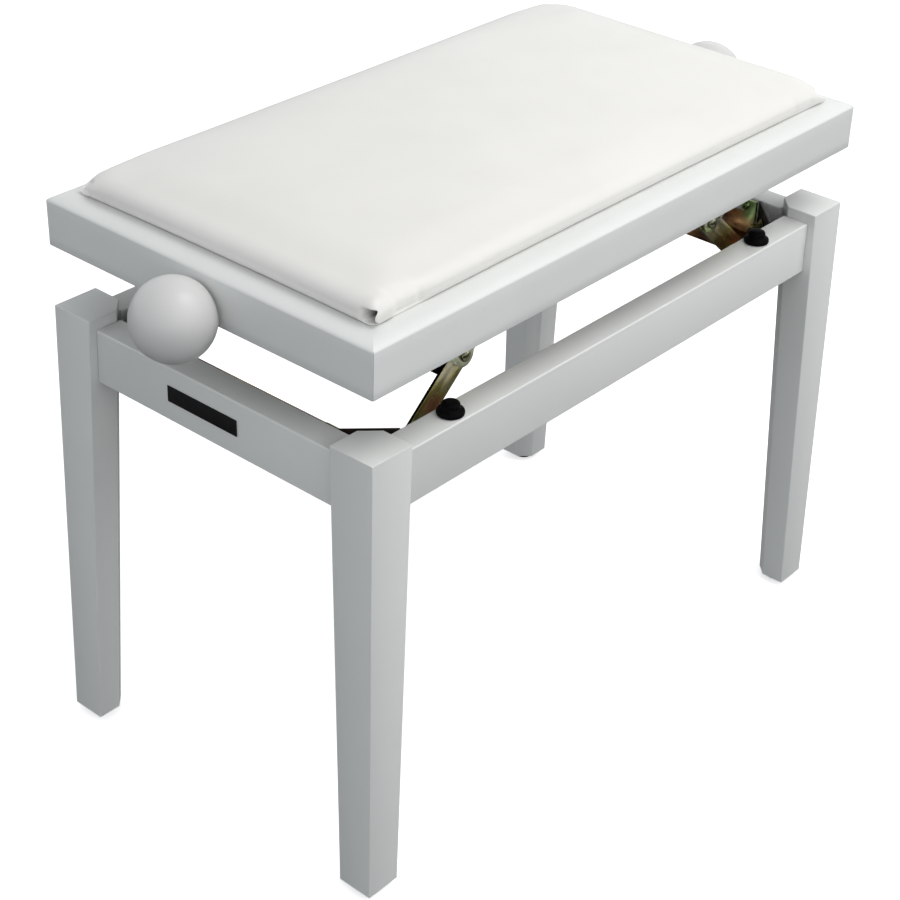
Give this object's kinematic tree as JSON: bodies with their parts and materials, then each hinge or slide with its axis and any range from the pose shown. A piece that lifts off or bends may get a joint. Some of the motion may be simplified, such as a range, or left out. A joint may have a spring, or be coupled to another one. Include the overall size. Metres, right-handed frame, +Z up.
{
  "type": "piano bench",
  "caption": "White wooden piano bench with tapered legs, a padded vinyl seat raised by a screw-driven pair of lift linkages, and a round knob at each end.",
  "frame": {"origin": "on the floor, under the middle of the bench", "axes": "+X along the seat towards the right end, +Y towards the back, +Z up"},
  "size_m": [0.6684, 0.331, 0.4846],
  "materials": {
    "white_paint": "satin white paint",
    "white_vinyl": "glossy white vinyl",
    "yellow_zinc": "yellow chromated zinc",
    "bright_steel": "zinc-plated",
    "black_steel": "black enamel",
    "black_rubber": "matte",
    "black_plastic": "matte",
    "board": "raw plywood"
  },
  "bodies": {
    "frame": {"leg_front_left": "white_paint", "corner_brace_front_left": "black_steel", "leg_bolt_front_left": "bright_steel", "glide_front_left": "black_plastic", "bumper_front_left": "black_rubber", "leg_front_right": "white_paint", "corner_brace_front_right": "black_steel", "leg_bolt_front_right": "bright_steel", "glide_front_right": "black_plastic", "bumper_front_right": "black_rubber", "leg_back_left": "white_paint", "corner_brace_back_left": "black_steel", "leg_bolt_back_left": "bright_steel", "glide_back_left": "black_plastic", "bumper_back_left": "black_rubber", "leg_back_right": "white_paint", "corner_brace_back_right": "black_steel", "leg_bolt_back_right": "bright_steel", "glide_back_right": "black_plastic", "bumper_back_right": "black_rubber", "rail_front": "white_paint", "rail_back": "white_paint", "rail_left": "white_paint", "rail_right": "white_paint", "name_plate": "black_plastic", "base_bracket_left": "yellow_zinc", "base_rivet_left_front": "bright_steel", "base_rivet_left_back": "bright_steel", "base_bracket_right": "yellow_zinc", "base_rivet_right_front": "bright_steel", "base_rivet_right_back": "bright_steel"},
    "lift_left": {"lift_frame_left": "yellow_zinc", "knee_rivet_left_front": "bright_steel", "knee_rivet_left_back": "bright_steel"},
    "stay_left": {"stay_arm_left_front": "yellow_zinc", "stay_arm_left_back": "yellow_zinc"},
    "nut_left": {"nut_bar_left": "bright_steel"},
    "lift_right": {"lift_frame_right": "yellow_zinc", "knee_rivet_right_front": "bright_steel", "knee_rivet_right_back": "bright_steel"},
    "stay_right": {"stay_arm_right_front": "yellow_zinc", "stay_arm_right_back": "yellow_zinc"},
    "nut_right": {"nut_bar_right": "bright_steel"},
    "seat": {"seat_frame_front": "white_paint", "seat_frame_back": "white_paint", "seat_frame_left": "white_paint", "seat_frame_right": "white_paint", "seat_board": "board", "cushion": "white_vinyl", "seat_bracket_left": "yellow_zinc", "seat_rivet_left_front": "bright_steel", "seat_rivet_left_back": "bright_steel", "seat_bracket_right": "yellow_zinc", "seat_rivet_right_front": "bright_steel", "seat_rivet_right_back": "bright_steel"},
    "screw": {"spindle": "bright_steel", "knob_left": "white_paint", "knob_right": "white_paint", "knob_washer_left": "bright_steel", "knob_washer_right": "bright_steel"}
  },
  "joints": [
    {"name": "lift_left_hinge", "type": "hinge", "parent": "frame", "child": "lift_left", "pos_m": [-0.196, 0, 0.3452], "axis": [0, -1, 0], "range_deg": [-23.5, 23.5]},
    {"name": "stay_left_hinge", "type": "hinge", "parent": "lift_left", "child": "stay_left", "pos_m": [-0.14726, 0, 0.3882], "axis": [0, 1, 0], "range_deg": [-48, 48]},
    {"name": "nut_left_hinge", "type": "hinge", "parent": "lift_left", "child": "nut_left", "pos_m": [-0.09851, 0, 0.4312], "axis": [0, 1, 0], "range_deg": [-24.5, 24.5]},
    {"name": "seat_hinge", "type": "hinge", "parent": "stay_left", "child": "seat", "pos_m": [-0.196, 0, 0.4312], "axis": [0, -1, 0], "range_deg": [-24.5, 24.5]},
    {"name": "screw_turn", "type": "hinge", "parent": "seat", "child": "screw", "pos_m": [0, 0, 0.4312], "axis": [1, 0, 0], "range_deg": [-3088, 3088]},
    {"name": "lift_right_hinge", "type": "hinge", "parent": "frame", "child": "lift_right", "pos_m": [0.196, 0, 0.3452], "axis": [0, 1, 0], "range_deg": [-24.5, 24.5]},
    {"name": "stay_right_hinge", "type": "hinge", "parent": "lift_right", "child": "stay_right", "pos_m": [0.14726, 0, 0.3882], "axis": [0, -1, 0], "range_deg": [-48, 48]},
    {"name": "nut_right_hinge", "type": "hinge", "parent": "lift_right", "child": "nut_right", "pos_m": [0.09851, 0, 0.4312], "axis": [0, -1, 0], "range_deg": [-24.5, 24.5]}
  ],
  "couplings": [
    {"joint": "stay_left_hinge", "follows": "lift_left_hinge", "ratio": 2},
    {"joint": "nut_left_hinge", "follows": "lift_left_hinge", "ratio": 1},
    {"joint": "seat_hinge", "follows": "lift_left_hinge", "ratio": 1},
    {"joint": "screw_turn", "follows": "lift_left_hinge", "ratio": 131.33},
    {"joint": "lift_right_hinge", "follows": "lift_left_hinge", "ratio": 1},
    {"joint": "stay_right_hinge", "follows": "lift_left_hinge", "ratio": 2},
    {"joint": "nut_right_hinge", "follows": "lift_left_hinge", "ratio": 1}
  ]
}
